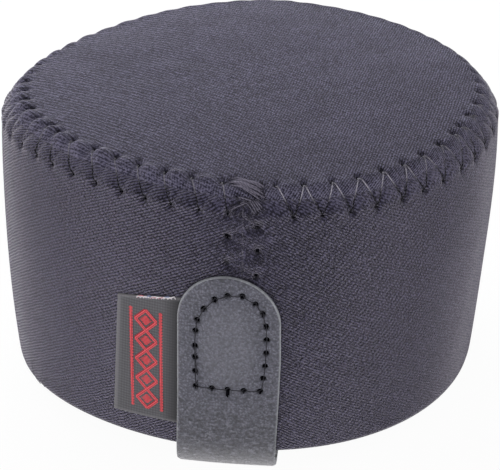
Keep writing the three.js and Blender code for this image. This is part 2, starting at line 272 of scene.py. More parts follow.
def tufts():
    """The cloth puffs between the needle holes, most at the left: points and heights."""
    points, heights = [], []
    for upper, at, high in ((True, S_EDGE - 0.5, 1.0), (False, S_WALL + 0.6, 0.25)):
        row = sorted(a for a, s in CROWN_HOLES if (s > S_BUTT) == upper)
        for i, (a, b) in enumerate(zip(row[:-1], row[1:])):
            if b - a > 12:
                continue
            left = 1.0 if a > 285 else 0.45
            points.append(on_outline((a + b) / 2, at + 0.35 * math.sin(i * 1.9)))
            heights.append(high * left * (0.62 + 0.14 * math.sin(i * 2.7)))
    return np.array(points), np.array(heights)


CROWN_PITS = [(a, s + (0.42 if s > S_BUTT else -0.22)) for a, s in CROWN_HOLES]
BAR_START = len(CROWN_HOLES) + len(SIDE_HOLES)
# How deep each hole pulls the cloth in: the crown's deepest, the bartack's hardly
PIT_DEPTH = ([1.0 if s > S_BUTT else 0.62 for _, s in CROWN_HOLES] + [0.8] * len(SIDE_HOLES)
             + [0.25] * len(BAR_HOLES))
CROWN_HOLE, SIDE_HOLE = 0.5, 0.68
PITS = (CROWN_PITS, SIDE_HOLES, BAR_HOLES)
HOLE_TREE = tree_of(np.vstack([on_outline(*np.array(holes).T) for holes in PITS]))
LEG_TREE = tree_of(legs_between(CROWN_HOLES))
SIDE_TREE = tree_of(legs_between(SIDE_HOLES))
BAR_TREE = tree_of(np.vstack([legs_between(leg) for leg in BAR_LEGS]))
CREASE_POINTS, CREASE_DEPTHS = creases()
CREASE_TREE = tree_of(CREASE_POINTS)
TUFT_POINTS, TUFT_HEIGHTS = tufts()
TUFT_TREE = tree_of(TUFT_POINTS)


def from_seam(az):
    """Degrees round from the side seam, -180 to 180."""
    return (az - SEAM_AZ + 180) % 360 - 180


def seam_press(s):
    """How much of the seam's squeeze is felt at a distance along the outline."""
    return bell(s - S_BUTT, 3.6)


def under_face(s):
    """Depth of the outer jersey's underside."""
    return -JERSEY - 0.05 - 1.1 * seam_press(s)


def sewn(q):
    """At one point: how far the stitches pull the cloth out or in, and how much painted shade it gets there: in
    the holes, along the creases and under the threads.
    """
    total, hole = 0.0, 0.0
    for _, index, d in HOLE_TREE.find_n(q, 4):
        total -= PIT_DEPTH[index] * (0.8 * bell(d, 0.55) + 0.12 * bell(d, 1.7))
        if index < BAR_START:
            hole = max(hole, bell(d, CROWN_HOLE if index < len(CROWN_HOLES) else SIDE_HOLE, 4))
    found = [(CREASE_DEPTHS[index], d) for _, index, d in CREASE_TREE.find_n(q, 6)]
    total -= max(depth * bell(d, 0.75) for depth, d in found)
    hole = max(hole, max(0.6 * depth * bell(d, 0.4) for depth, d in found))
    total += max(TUFT_HEIGHTS[index] * bell(d, 1.5) for _, index, d in TUFT_TREE.find_n(q, 3))
    leg, side, bar = (tree.find(q)[2] for tree in (LEG_TREE, SIDE_TREE, BAR_TREE))
    total -= 0.24 * bell(leg, 0.6) + 0.2 * bell(side, 0.7) + 0.16 * bell(bar, 0.8)
    return total, max(hole, 0.26 * bell(leg, 0.22), 0.6 * bell(bar, 0.5))


def relief(az, s, points):
    """How far the jersey stands out of its plain outline, its painted shade at the needle holes and its painted
    light along the seam.
    """
    rise, dark = np.zeros(s.size), np.zeros(s.size)
    near = (np.abs(s - S_BUTT) < 8) | (np.abs(from_seam(az)) < 12)
    az_f, pts = (az % 360).reshape(-1), points.reshape(-1, 3)
    for i in np.flatnonzero(near):
        total, hole = sewn(Vector(pts[i]))
        # The back of the seam is smoother in outline
        calm = 1 - 0.72 * math.sin(math.pi * min(1.0, max(0.0, (az_f[i] - 70) / 175))) ** 0.5
        rise[i] = max(total * calm, -1.35)
        # Painted light: the holes' painted shade is fainter round the right side, where light falls into them
        dark[i] = hole * (1 - 0.3 * bell(az_f[i] - 85, 30))
    rise, dark = rise.reshape(s.shape), dark.reshape(s.shape)
    rise += 0.3 * bell(s - S_BUTT, 2.6) - 0.1 * bell(s - S_BUTT, 0.6)
    across = np.radians(from_seam(az)) * ARC_R
    rise += (0.16 * bell(across, 3.6) - 0.14 * bell(across, 0.45)) * (s < S_BUTT)
    # Slow waves of the soft wall
    a = np.radians(az)
    rise += 0.07 * np.sin(5 * a + 1.1 + s / 15) * np.sin(s / 9.0 + 0.7)
    rise += 0.05 * np.sin(11 * a + 2.3) * np.sin(s / 5.5)
    rise = np.maximum(rise, under_face(s) + 0.06)
    # Below nought the cloth gets painted light: a paler band along the seam
    middle = 0.2 - 1.3 * np.sin(a) * np.clip(np.cos(a), 0, 1)
    seam_painted_light = 0.42 * bell(s - S_BUTT - middle, 2.3, 4)
    return rise, dark - seam_painted_light * (1 - np.clip(dark, 0, 1))


# Meshes

def mesh_object(name, verts, faces, layers=(), smooth_shading=True):
    mesh = bpy.data.meshes.new(name)
    mesh.from_pydata([tuple(v) for v in verts], [], faces)
    mesh.update()
    for key, values in layers:
        values = np.asarray(values, np.float32)
        kind = "FLOAT" if values.ndim == 1 else "FLOAT_VECTOR"
        layer = mesh.attributes.new(key, kind, "POINT")
        layer.data.foreach_set("value" if kind == "FLOAT" else "vector", values.reshape(-1))
    if smooth_shading:
        mesh.shade_smooth()
    obj = bpy.data.objects.new(name, mesh)
    bpy.context.scene.collection.objects.link(obj)
    return obj


def outward(obj):
    """Faces look out of the closed mesh."""
    bm = bmesh.new()
    bm.from_mesh(obj.data)
    bmesh.ops.recalc_face_normals(bm, faces=bm.faces)
    bm.to_mesh(obj.data)
    bm.free()
    return obj


def grid_faces(start, rows, cols, closed, flip=False):
    out = []
    for i in range(rows - 1):
        a, b = start + i * cols, start + (i + 1) * cols
        for j in range(cols if closed else cols - 1):
            k = (j + 1) % cols
            q = (a + j, a + k, b + k, b + j)
            out.append(q[::-1] if flip else q)
    return out


def zipper(left, right, flip=False):
    """Triangles between two lines of points with different counts."""
    out, i, j = [], 0, 0
    left_t, right_t = np.linspace(0, 1, len(left)), np.linspace(0, 1, len(right))
    while i < len(left) - 1 or j < len(right) - 1:
        if j == len(right) - 1 or (i < len(left) - 1 and left_t[i + 1] <= right_t[j + 1]):
            tri = (left[i], left[i + 1], right[j])
            i += 1
        else:
            tri = (left[i], right[j + 1], right[j])
            j += 1
        out.append(tri[::-1] if flip else tri)
    return out


def whole(faces):
    return [tuple(int(v) for v in f) for f in faces]


def depth_at(lift, s):
    """A depth is one number, or it changes along the outline."""
    return lift(s) if callable(lift) else lift


def lifted(az, s, lift, worked):
    """One side of a layer, and how dark it is: the worked side has the stitches' relief."""
    depth = depth_at(lift, s)
    if not worked:
        return on_outline(az, s, depth), np.zeros(s.shape)
    rise, dark = relief(az, s, on_outline(az, s))
    return on_outline(az, s, depth + rise), dark


def band_layer(name, cols, out_s, in_s, out_lift, in_lift, worked=False):
    """A ring of cloth or foam, open at the side seam, between two depths under the outline."""
    mean_r = 44.0
    gap = math.degrees(BUTT_GAP / mean_r)
    az = SEAM_AZ + np.linspace(gap, 360 - gap, cols)
    sheets, knit, darks = [], [], []
    for s, lift, with_relief in ((out_s, out_lift, worked), (in_s, in_lift, False)):
        ss, aa = np.meshgrid(s, az, indexing="ij")
        points, dark = lifted(aa, ss, lift, with_relief)
        across = np.abs(np.radians(from_seam(aa))) * mean_r
        a = np.radians(aa)
        ribbed = (0.5 - 0.5 * np.sin(a)) * (1 - 0.45 * np.clip(-np.cos(a), 0, 1))
        sheets.append(points.reshape(-1, 3))
        knit.append(np.stack([across, ss, ribbed], -1).reshape(-1, 3))
        darks.append(dark.reshape(-1))
    n_out, n_in = len(out_s), len(in_s)
    k = n_out * cols
    faces = grid_faces(0, n_out, cols, False) + grid_faces(k, n_in, cols, False, flip=True)
    outer = np.arange(k).reshape(n_out, cols)
    inner = k + np.arange(n_in * cols).reshape(n_in, cols)
    for j in range(cols - 1):
        faces.append((outer[0, j + 1], outer[0, j], inner[0, j], inner[0, j + 1]))
        faces.append((outer[-1, j], outer[-1, j + 1], inner[-1, j + 1], inner[-1, j]))
    faces += zipper(outer[:, 0], inner[:, 0], flip=True) + zipper(outer[:, -1], inner[:, -1])
    return mesh_object(name, place(np.vstack(sheets)), whole(faces),
                       [("knit", np.vstack(knit)), ("hole", np.concatenate(darks))])


def crown_surface(cols, s_values, halve_at, lift, worked):
    """Rings from the edge to the middle, with half as many points from some rings on."""
    verts, knit, darks, rings, at, n = [], [], [], [], 0, cols
    for i, s in enumerate(s_values):
        if i in halve_at:
            n //= 2
        az = SEAM_AZ + np.arange(n) * 360.0 / n
        points, dark = lifted(az, np.full(n, s), lift, worked)
        r = np.interp(s, OUT_S, OUT[:, 0]) + max(S_EDGE - s, 0)
        verts.append(points)
        knit.append(round_at(az, r, 0))
        darks.append(dark)
        rings.append(np.arange(at, at + n))
        at += n
    verts.append(np.array([[0, 0, profile(S_END)[1] + depth_at(lift, S_END)]]))
    knit.append(np.zeros((1, 3)))
    darks.append(np.zeros(1))
    faces = []
    for a, b in zip(rings[:-1], rings[1:]):
        n, m = len(a), len(b)
        if n == m:
            faces += [(a[j], a[(j + 1) % n], b[(j + 1) % n], b[j]) for j in range(n)]
        else:
            for j in range(m):
                p, q, r = a[2 * j], a[2 * j + 1], a[(2 * j + 2) % n]
                faces += [(p, q, b[j]), (q, b[(j + 1) % m], b[j]), (q, r, b[(j + 1) % m])]
    last = rings[-1]
    faces += [(last[j], last[(j + 1) % len(last)], at) for j in range(len(last))]
    return np.vstack(verts), np.vstack(knit), np.concatenate(darks), faces


def crown_layer(name, cols, out_rings, in_rings, out_lift, in_lift, worked=False):
    """A disc of cloth or foam between two depths; the rings are (distances, where they halve)."""
    v0, k0, d0, f0 = crown_surface(cols, *out_rings, out_lift, worked)
    v1, k1, d1, f1 = crown_surface(cols, *in_rings, in_lift, False)
    n = len(v0)
    faces = whole(f0) + [tuple(int(v + n) for v in f)[::-1] for f in f1]
    faces += [((j + 1) % cols, j, j + n, (j + 1) % cols + n) for j in range(cols)]
    return mesh_object(name, place(np.vstack([v0, v1])), faces,
                       [("knit", np.vstack([k0, k1])), ("hole", np.concatenate([d0, d1]))])


def evenly(path, count):
    """So many points at even distances along a path."""
    seg = lengths(path)
    t = np.linspace(0, seg[-1], count)
    return np.stack([np.interp(t, seg, column) for column in path.T], -1)


def resample(path, step=0.4, least=1):
    return evenly(path, max(least, int(lengths(path)[-1] / step)))


def tube(name, paths, radius, sides=7, pale=None):
    """Round thread along each path."""
    verts, faces, along, base = [], [], [], 0
    turn = np.arange(sides) / sides
    c, s = (g(TAU * turn)[:, None] for g in (np.cos, np.sin))
    for path in paths:
        p = resample(path, 0.16, 4)
        count = len(p)
        d = np.gradient(p, axis=0)
        d /= np.linalg.norm(d, axis=1)[:, None] + 1e-12
        side = np.cross(d, (*p.mean(0)[:2], 12.0))
        side /= np.linalg.norm(side, axis=1)[:, None] + 1e-12
        up = np.cross(side, d)
        verts.append((p[:, None] + radius * (c * side[:, None] + s * up[:, None])).reshape(-1, 3))
        t = np.linspace(0, lengths(path)[-1], count)[:, None]
        along.append(np.stack(np.broadcast_arrays(t, 0.0, turn), -1).reshape(-1, 3))
        for i in range(count - 1):
            a, b = base + i * sides, base + (i + 1) * sides
            faces += [(a + k, b + k, b + (k + 1) % sides, a + (k + 1) % sides) for k in range(sides)]
        end = base + count * sides
        faces += [tuple(range(base, base + sides)), tuple(reversed(range(end - sides, end)))]
        base = end
    verts = np.vstack(verts)
    shade = pale(verts) if pale else np.full(len(verts), 0.5)
    return mesh_object(name, place(verts), faces, [("along", np.vstack(along)), ("pale", shade)])


def stitch_path(holes, lift, dip=0.5, edge=0.13, gathered=0.0):
    """A thread that dives into each needle hole and rides over the cloth between them."""
    out = []
    for i, ((a0, s0), (a1, s1)) in enumerate(zip(holes[:-1], holes[1:])):
        t = np.linspace(0, 1, 22)[:-1]
        rise = smooth(np.clip(np.minimum(t, 1 - t) / edge, 0, 1))
        bow = gathered * math.sin(i * 2.3) * np.sin(math.pi * t)
        top = lift(a0, s1 > s0) if callable(lift) else lift
        out.append(on_outline(a0 + (a1 - a0) * t + bow, s0 + (s1 - s0) * t, -dip + (top + dip) * rise))
    out.append(on_outline(*holes[-1], -dip)[None])
    return np.vstack(out)


# Materials

def linear(rgb):
    c = np.array(rgb, float) / 255
    return tuple(np.where(c <= 0.04045, c / 12.92, ((c + 0.055) / 1.055) ** 2.4))


class Value:
    """What a node puts out: arithmetic on it adds the nodes that work it out."""

    def __init__(self, nodes, socket):
        self.nodes, self.socket = nodes, socket

    def by(self, operation, *others):
        """This and other values put through one operation."""
        return self.nodes.get("Math", self, *others, operation=operation)

    def clamped(self):
        """Held between 0 and 1 by its own node."""
        self.socket.node.use_clamp = True
        return self

    __add__ = partialmethod(by, "ADD")
    __sub__ = partialmethod(by, "SUBTRACT")
    __mul__ = partialmethod(by, "MULTIPLY")
    __truediv__ = partialmethod(by, "DIVIDE")


class Nodes:
    """A material's or the world's node tree, with short calls for its nodes."""

    def __init__(self, owner):
        owner.use_nodes = True
        self.owner, self.tree = owner, owner.node_tree
        self.bsdf = self.tree.nodes.get("Principled BSDF")

    def put(self, socket, value):
        if isinstance(value, (Value, bpy.types.NodeSocket)):
            self.tree.links.new(getattr(value, "socket", value), socket)
        else:
            socket.default_value = value

    def add(self, kind, *inputs, **named):
        """A node with its first inputs filled. Named inputs have a capital letter, settings don't."""
        node = self.tree.nodes.new("ShaderNode" + kind)
        for key, value in named.items():
            if key.islower():
                setattr(node, key, value)
            else:
                self.put(node.inputs[key], value)
        for socket, value in zip(node.inputs, inputs):
            self.put(socket, value)
        return node

    def get(self, kind, *inputs, out=0, **named):
        """One output of a new node."""
        return Value(self, self.add(kind, *inputs, **named).outputs[out])

    def value(self, name):
        return self.get("Attribute", out="Fac", attribute_name=name)

    def vector(self, name):
        return self.get("Attribute", out="Vector", attribute_name=name)

    def object_at(self):
        return self.get("TexCoord", out="Object")

    def split(self, vector):
        return [Value(self, part) for part in self.add("SeparateXYZ", vector).outputs]

    def scaled(self, vector, factor):
        return self.get("VectorMath", vector, factor, operation="MULTIPLY")

    def noise(self, vector, scale, detail, roughness):
        return self.get("TexNoise", vector, out="Fac", Scale=scale, Detail=detail, Roughness=roughness)

    def ramp(self, fac, *stops):
        node = self.add("ValToRGB", fac)
        while len(node.color_ramp.elements) < len(stops):
            node.color_ramp.elements.new(0.5)
        for element, (at, rgb) in zip(node.color_ramp.elements, stops):
            element.position = at
            element.color = (*linear(rgb), 1)
        return node.outputs[0]

    def mix(self, fac, a, b):
        """From colour a to b; the first is a socket, the second may be an RGB triple."""
        node = self.add("Mix", fac, data_type="RGBA")
        self.put(node.inputs[6], a)
        self.put(node.inputs[7], (*linear(b), 1) if isinstance(b, tuple) else b)
        return node.outputs[2]

    def shade(self, fac, amount, colour, over):
        return self.mix((fac * amount).clamped(), colour, over)

    def finish(self, colour, height=None, strength=0.0, distance=0.0, **values):
        """The shader's colour, its bump and its other inputs."""
        self.put(self.bsdf.inputs["Base Color"], colour)
        for key, value in values.items():
            self.put(self.bsdf.inputs[key.replace("_", " ")], value)
        if height is not None:
            bump = self.get("Bump", Height=height, Strength=strength, Distance=distance)
            self.put(self.bsdf.inputs["Normal"], bump)
        return self.owner


def material(name):
    return Nodes(bpy.data.materials.new(name))


# Waves of the knit: turns per millimetre across and along the cloth, height, and the side
# where they show most
WALL_KNIT = ((0.0, 1.74, 0.5, "wall"), (1.35, 0.88, 0.1, None), (-1.35, 0.88, 0.1, None))
CROWN_KNIT = ((2.05, -0.29, 0.3, 1), (0.46, 0.82, 0.19, -1), (1.03, 1.2, 0.12, None),
              (-0.9, 1.4, 0.08, None))


def knit_material(name, dark, mid, light, strength, sheen, waves=WALL_KNIT, slant=0.54, sheen_from=0.4):
    """Warp-knit jersey: slanted stitches in ribs, with a painted sheen of fine fibres where it turns away."""
    m = material(name)
    place_at = m.scaled(m.object_at(), (1000, 1000, 1000))
    drift = m.get("TexNoise", place_at, out="Color", Scale=0.45, Detail=2.5)
    moved = m.get("VectorMath", m.vector("knit"), m.scaled(drift, (0.55, 0.55, 0.55)), operation="ADD")
    u, v, left = m.split(moved)
    # The rows climb away from the seam, then level out round the sides
    v = v + u.by("SMOOTH_MIN", 72.0, 18.0) * slant
    stitch = None
    for per_u, per_v, high, side in waves:
        wave = (u * (TAU * per_u) + v * (TAU * per_v)).by("COSINE") * high
        if side == "wall":
            wave = wave * (left * left * 0.82 + 0.2).clamped()
        elif side:
            wave = wave * (u * (side / 50) + 0.62).clamped()
        stitch = stitch + wave if stitch else wave
    if waves is WALL_KNIT:
        # The rows are lost in the pulled cloth along the side seam
        stitch = stitch * (u.by("ABSOLUTE") * 0.1 + 0.15).clamped()
    height = stitch * 0.85 + 0.5 + (m.noise(place_at, 2.2, 3, 0.8) - 0.5) * 2.2
    hole = m.value("hole")
    # Painted light: paler along the seam where the attribute is below nought
    seam_painted_light = (hole * -1.0).clamped()
    tone = height + (m.noise(place_at, 0.14, 3, 0.6) - 0.5) * 0.3 + seam_painted_light * 0.45
    colour = m.ramp(tone, (0.08, dark), (0.5, mid), (0.95, light))
    # Painted sheen: the colour turns paler where the cloth turns away, as loose fibres catch the light
    turned = ((m.get("LayerWeight", out="Facing") - sheen_from) / 0.4).clamped()
    bright = m.ramp(tone, (0.1, (92, 89, 98)), (0.5, (136, 132, 143)), (0.95, (184, 180, 190)))
    colour = m.mix(turned * turned, colour, bright)
    # Painted shade: the colour goes near black in the needle holes and creases and at the threads' feet
    return m.finish(m.shade(hole, 1.0, colour, (6, 5, 8)), height, strength, 0.00045, Roughness=0.9,
                    Specular_IOR_Level=0.2, Sheen_Weight=sheen, Sheen_Roughness=0.24,
                    Sheen_Tint=(*linear((214, 208, 226)), 1))


def foam_material():
    m = material("foam_rubber")
    at = m.object_at()
    height = m.get("TexVoronoi", at, out="Distance", Scale=3200) * 0.6 + m.noise(at, 900, 4, 0.6) * 0.5
    colour = m.ramp(height, (0.15, (24, 24, 27)), (0.6, (48, 48, 52)), (1.0, (70, 70, 74)))
    return m.finish(colour, height, 0.7, 0.00015, Roughness=0.85, Specular_IOR_Level=0.3)


def fine_lines(a, pitch):
    """Fine parallel lines so far apart, from 0 to 1."""
    return (a * (TAU / pitch)).by("SINE") * 0.5 + 0.5


def thread_material(name, dark, light, rough):
    """Twisted fibres, with painted light: paler where the piece says so."""
    m = material(name)
    at = m.vector("along")
    x, _, turn = m.split(at)
    fibre = (x * 9.0 + turn * TAU).by("SINE") * 0.5 + 0.5
    tone = (fibre * 0.45 + m.noise(at, 1.3, 3, 0.6) * 0.6) * 0.45 + m.value("pale") * 0.7
    return m.finish(m.ramp(tone, (0.22, dark), (0.95, light)), fibre, 0.4, 0.00004,
                    Roughness=rough, Specular_IOR_Level=0.05)


def leather_material():
    """Satin coated strap: fine grain, cross wrinkles near the fold with painted shade in their hollows, a paler
    raw cut edge with a painted highlight along it, and painted highlights on the pad and the fold.
    """
    m = material("strap_satin")
    at = m.vector("strap")
    up = m.split(at)[1]
    grain_at = m.scaled(at, (1.0, 1.0, 0.0))
    grain = m.noise(grain_at, 3.0, 4, 0.7)
    cells = m.get("TexVoronoi", grain_at, out="Distance", feature="SMOOTH_F1", Scale=2.5)
    bend = m.get("TexNoise", m.scaled(at, (0.5, 0.5, 0.0)), out="Color")
    bent = m.get("VectorMath", bend, (0.8, 1.8, 0), m.scaled(at, (0.62, 1.9, 0.0)),
                 operation="MULTIPLY_ADD")
    low = ((up - 2.0) / -12.0 + 1.0).clamped()
    folds = ((m.noise(bent, 1.0, 3, 0.6) - 0.5) * 4.5 + 0.5).clamped() - 0.5
    creased = folds * (low * 1.1 + 0.12)
    height = grain * 0.8 + cells * -0.9 + creased
    tone = (grain - 0.5) * 0.6 + (m.noise(grain_at, 0.25, 3, 0.6) * 0.16 + 0.45)
    # Painted light: wrinkle crests paler and their hollows darker, and the lower part paler
    tone = tone - (cells - 0.35) * 0.6 + creased * 0.36 + low * 0.07
    colour = m.ramp(tone, (0.2, (55, 55, 64)), (0.5, (101, 101, 115)), (0.8, (155, 155, 171)))
    # Painted highlights on the pad, at the fold and along the cut edges, and painted shade in the stitch holes
    for name, amount, over in (("pad_highlight", 0.3, (148, 148, 160)), ("fold_highlight", 0.95, (244, 242, 247)),
                               ("edge", 0.85, (205, 208, 214)), ("hole", 1.0, (10, 10, 12))):
        colour = m.shade(m.value(name), amount, colour, over)
    return m.finish(colour, height, 1.0, 0.0009, Roughness=grain * 0.22 + 0.3,
                    Specular_IOR_Level=0.7, Sheen_Weight=0.04, Sheen_Roughness=0.4)


def label_material():
    """Woven label: fine satin ribs, paler at the fold, and shade in the hollow beside the tab."""
    m = material("label_woven")
    at = m.vector("weave")
    x, z, _ = m.split(at)
    height = fine_lines(x, 0.5) * 0.2 + fine_lines(z, 0.54) * 0.3 + m.noise(at, 2.2, 4, 0.6) * 0.5
    colour = m.ramp(height, (0.25, (67, 66, 70)), (0.5, (79, 78, 82)), (0.8, (95, 94, 98)))
    hollow = ((x - 7.4) / -2.8).clamped()
    colour = m.shade(hollow, 0.9, colour, (24, 23, 28))
    colour = m.shade(m.value("edge"), 0.7, colour, (134, 132, 136))
    return m.finish(colour, height, 0.35, 0.0001, Roughness=0.55, Specular_IOR_Level=0.4,
                    Sheen_Weight=0.1, Sheen_Roughness=0.4)


def motif_material():
    m = material("motif_satin_thread")
    at = m.vector("weave")
    tone = fine_lines(m.split(at)[1], 0.34) * 0.6 + m.noise(at, 3.0, 3, 0.6) * 0.4
    colour = m.ramp(tone, (0.15, (150, 34, 46)), (0.55, (212, 68, 78)), (0.95, (238, 112, 116)))
    return m.finish(colour, tone, 0.7, 0.00015, Roughness=0.5, Specular_IOR_Level=0.4)


def hole_material():
    """The shade inside a needle hole."""
    m = material("needle_hole_shade")
    colour = m.ramp(m.noise(m.object_at(), 2600, 2, 0.5), (0.3, (5, 4, 6)), (0.7, (16, 15, 20)))
    return m.finish(colour, Roughness=1.0, Specular_IOR_Level=0.0)


def board_material():
    m = material("stiffener_sheet")
    grain = m.noise(m.object_at(), 260, 4, 0.55)
    colour = m.ramp(grain, (0.3, (196, 196, 192)), (0.7, (218, 218, 214)))
    return m.finish(colour, grain, 0.15, 0.0001, Roughness=0.45, Specular_IOR_Level=0.45)


JERSEY_MAT = knit_material("jersey_outside", (8, 6, 12), (39, 36, 52), (105, 101, 127), 1.0, 0.6)
CROWN_MAT = knit_material("jersey_crown", (11, 9, 17), (57, 54, 73), (130, 126, 152), 1.0, 0.32,
                          CROWN_KNIT, 0.0, 0.6)
LINING_MAT = knit_material("jersey_lining", (24, 23, 27), (56, 55, 61), (104, 102, 112), 0.8, 0.16)
FOAM_MAT = foam_material()
THREAD_MAT = thread_material("sewing_thread_dark", (6, 6, 9), (166, 162, 174), 0.45)
BUNDLE_MAT = thread_material("sewing_thread_bundle", (10, 8, 14), (138, 133, 150), 0.5)
SIDE_THREAD_MAT = thread_material("sewing_thread_cloth", (24, 22, 28), (74, 71, 82), 0.6)
BLACK_THREAD_MAT = thread_material("sewing_thread_black", (10, 10, 12), (84, 83, 90), 0.6)
STRAP_MAT = leather_material()
HOLE_MAT = hole_material()
LABEL_MAT = label_material()
MOTIF_MAT = motif_material()
BOARD_MAT = board_material()


def shade_holes(obj, least):
    """Faces deep in a needle hole get the shade material."""
    layer = obj.data.attributes["hole"].data
    depth = np.zeros(len(layer), np.float32)
    layer.foreach_get("value", depth)
    obj.data.materials.append(HOLE_MAT)
    for face in obj.data.polygons:
        if depth[list(face.vertices)].mean() > least:
            face.material_index = 1


def finish_piece(obj, mat, slot, *nodes, body="cap", shaded_from=None):
    """Material, body and the CAD nodes that the piece stands for; the slot is not used."""
    obj.data.materials.append(mat)
    if shaded_from:
        shade_holes(obj, shaded_from)
    if body:
        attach(obj, body)
    if nodes:
        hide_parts(*nodes)
    return obj


# Wall

FINE_COLS, LINING_COLS, FOAM_COLS, CROWN_FOAM_COLS = 880, 440, 360, 240
JERSEY_HOLE = 0.78


def rolled(s):
    """The cut edge at the rim turns in a little."""
    return -0.12 * bell(s, 0.5)


def foam_face(s):
    return -JERSEY - 0.02 - 0.6 * (1 - bell(s, 2.0)) - 1.0 * seam_press(s)


def lining_face(s):
    return -LAMINATE + 0.12 * bell(s, 0.8)


wall_rows = np.r_[np.arange(0, S_WALL - 5, 0.6), np.arange(S_WALL - 5, S_BUTT - 0.1, 0.28),
                  S_BUTT - CLEAR]
wall_in_rows = np.r_[np.linspace(0, S_BUTT - 8, 7), np.linspace(S_BUTT - 6, S_BUTT - 0.6, 7),
                     S_BUTT - CLEAR]
band_face = band_layer("band_face_jersey", FINE_COLS, wall_rows, wall_in_rows, rolled, under_face, True)
finish_piece(band_face, JERSEY_MAT, "jersey", "side_band_face", shaded_from=JERSEY_HOLE)

foam_rows = np.r_[0, 0.4, 1, 2, 4, 8, np.linspace(14, S_BUTT - 8, 4),
                  np.linspace(S_BUTT - 6, S_BUTT - 1.6, 5)]
foam_in_rows = np.r_[0, 1, 2, 4, np.linspace(8, S_BUTT - 3.0, 6)]
band_foam = band_layer("band_foam_core", FOAM_COLS, foam_rows, foam_in_rows, foam_face,
                       -LAMINATE + JERSEY + 0.02)
finish_piece(band_foam, FOAM_MAT, "foam", "side_band_foam")

band_lining = band_layer("band_lining_jersey", LINING_COLS, np.linspace(0, S_BUTT - 3.4, 8),
                         np.arange(0, S_BUTT - 2.9, 0.9), -LAMINATE + JERSEY, lining_face)
finish_piece(band_lining, LINING_MAT, "jersey", "side_band_lining")


# Crown

def beyond_edge(*distances):
    return S_EDGE + np.array(distances)


def crown_foam_face(s):
    return -JERSEY - 0.5 - 1.1 * seam_press(s)


coarse = beyond_edge(4.8, 5.8, 7, 8.5, 10.2, 12, 14, 16.2, 18.6, 21.2, 24, 27, 30.2, 33.5, 37)
crown_s = np.r_[S_BUTT + CLEAR, np.arange(S_BUTT + 0.3, S_EDGE + 4.2, 0.28), coarse]
first = len(crown_s) - len(coarse)
crown_in_s = np.r_[S_BUTT + CLEAR, S_BUTT + 0.6, S_BUTT + 2, beyond_edge(1.5, 5, 10, 16, 22, 28, 34, 38)]
crown_face = crown_layer("crown_face_jersey", FINE_COLS,
                         (crown_s, {first, first + 5, first + 9, first + 12}),
                         (crown_in_s, {5, 7, 8, 9}), 0.0, under_face, True)
finish_piece(crown_face, CROWN_MAT, "jersey", "crown_face", shaded_from=JERSEY_HOLE)

lining_rings = (np.r_[S_BUTT + 3.2, beyond_edge(4, 10, 20, 36)], {3, 4})
crown_foam = crown_layer("crown_foam_core", CROWN_FOAM_COLS,
                         (np.r_[S_BUTT + 1.4, beyond_edge(0, 3, 8, 16, 26, 36)], {4, 5, 6}), lining_rings,
                         crown_foam_face, -LAMINATE + JERSEY + 0.02)
finish_piece(crown_foam, FOAM_MAT, "foam", "crown_foam")

crown_lining = crown_layer("crown_lining_jersey", CROWN_FOAM_COLS, lining_rings,
                           (np.r_[S_BUTT + 4.2, beyond_edge(5, 10, 20, 36)], {3, 4}),
                           -LAMINATE + JERSEY, -LAMINATE)
finish_piece(crown_lining, LINING_MAT, "jersey", "crown_lining")


# Stiffener pocket under the crown

def pocket():
    """A cloth disc with a raised, puckered border, flat and rigid under the crown."""
    low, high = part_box("stiffener_pocket")
    radius = (high.x - low.x) / 2 / MM
    z_low = low.z / MM - CAP_AT[2]
    cols, border = 240, 2.6
    radii = [radius, radius - 0.5, radius - 1.2, radius - 2.2, radius - 3.4, 33, 30, 26, 21, 15, 9, 4]
    az = np.arange(cols) * 360 / cols
    verts, knit = [], []
    for depth in (0.0, JERSEY * 0.95):
        for r in radii:
            pucker = 0.10 * np.sin(np.radians(az) * 26) * bell(radius - r, 1.6)
            z = z_low + 0.5 * smooth(np.clip((r - (radius - border)) / border, 0, 1)) + pucker + depth
            verts.append(round_at(az, r, z))
            knit.append(round_at(az, r, 0))
    rings, inside = len(radii), (len(radii) - 1) * cols
    n = rings * cols
    faces = grid_faces(0, rings, cols, True, flip=True) + grid_faces(n, rings, cols, True)
    faces += [(j, n + j, n + (j + 1) % cols, (j + 1) % cols)[::-1] for j in range(cols)]
    faces += [tuple(reversed(range(inside, n))), tuple(range(n + inside, 2 * n))]
    # Only the cap's own shift is followed, not its lopsidedness
    return mesh_object("stiffener_pocket_cloth", (np.vstack(verts) + CAP_AT) * MM, faces,
                       [("knit", np.vstack(knit)), ("hole", np.zeros(2 * n))])


pocket_cloth = finish_piece(pocket(), LINING_MAT, "jersey", "stiffener_pocket")
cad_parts["stiffener_disc"].data.materials.clear()
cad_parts["stiffener_disc"].data.materials.append(BOARD_MAT)


# Threads of the crown seam, the side seam and the bartack

def crown_lift(az, rising):
    """How high a leg rides: sunk in the cloth at the left, low round the right."""
    left_from, left_to, right_from, right_to, plain_lift = 236, 303, 40, 110, 0.1
    if rising and az > left_from:
        return -1.0
    if left_from < az < left_to:
        return -0.24
    if right_from < az < right_to:
        return plain_lift - 0.13 * min(1.0, (az - right_from) / 20)
    return plain_lift


def pale_top(verts):
    """Threads catch the light high on the slope and sink in shade at its foot."""
    x, z = verts[:, 0], verts[:, 2] - WALL_H
    top = np.clip((z - 3.7) / 0.5, 0, 1)
    side = np.clip((x - 24) / 12, 0, 1)
    return smooth(np.clip((z - 1.5) / 1.8, 0, 1)) * (1 - 0.8 * top) * np.where(x < 2, 0.6, 1 - 0.45 * side)


# Painted highlight: the bartack's strands are paler higher up the slope
def pale_bundle(verts):
    return np.clip(0.42 + (verts[:, 2] - WALL_H) / 20, 0, 1)


